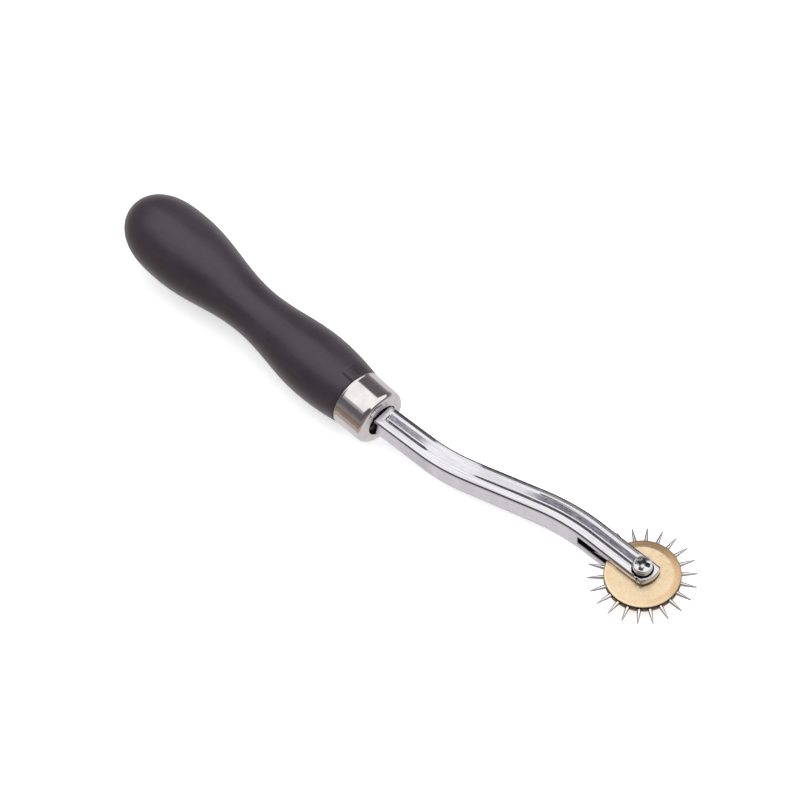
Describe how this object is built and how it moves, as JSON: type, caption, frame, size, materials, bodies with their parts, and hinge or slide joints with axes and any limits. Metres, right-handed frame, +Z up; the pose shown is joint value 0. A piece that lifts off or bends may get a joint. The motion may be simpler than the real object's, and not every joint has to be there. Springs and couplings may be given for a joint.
{
  "type": "tracing wheel",
  "caption": "Hand tracing wheel: turned wooden handle, metal ferrule, cranked forked arm, and a freely turning wheel of sharp steel points clamped between brass discs.",
  "frame": {"origin": "centre of the tool's footprint box, at the height of the flat surface that it lies on", "axes": "+Z up from the surface; +X along the handle from its butt towards the wheel; +Y the side that the arm is cranked towards. The wheel's axle is tilted 3.10 degrees from +Z towards +X, because the tool rests on the handle's front swell and the fork's nose"},
  "size_m": [0.193, 0.0388, 0.0236],
  "materials": {
    "lacquered_wood": "black satin lacquer on turned hardwood",
    "nickelled_ferrule": "bright nickel plate on a drawn cup",
    "plated_casting": "bright plate over a lightly dappled cast bar",
    "plated_screw": "bright zinc plate",
    "disc_brass": "satin, with faint turning marks and a darker bevel",
    "bush_brass": "turned",
    "point_steel": "ground and polished steel"
  },
  "bodies": {
    "holder": {"handle": "lacquered_wood", "ferrule": "nickelled_ferrule", "arm": "plated_casting", "axle_screw": "plated_screw"},
    "wheel": {"front_disc": "disc_brass", "rear_disc": "disc_brass", "hub_sleeve": "bush_brass", "point_01": "point_steel", "point_02": "point_steel", "point_03": "point_steel", "point_04": "point_steel", "point_05": "point_steel", "point_06": "point_steel", "point_07": "point_steel", "point_08": "point_steel", "point_09": "point_steel", "point_10": "point_steel", "point_11": "point_steel", "point_12": "point_steel", "point_13": "point_steel", "point_14": "point_steel", "point_15": "point_steel", "point_16": "point_steel", "point_17": "point_steel", "point_18": "point_steel", "point_19": "point_steel", "point_20": "point_steel", "point_21": "point_steel", "point_22": "point_steel"}
  },
  "joints": [
    {"name": "wheel_spin", "type": "hinge", "parent": "holder", "child": "wheel", "pos_m": [0.08252, 0.00544, 0.00389], "axis": [0.054, 0, 0.9985], "continuous": true}
  ]
}
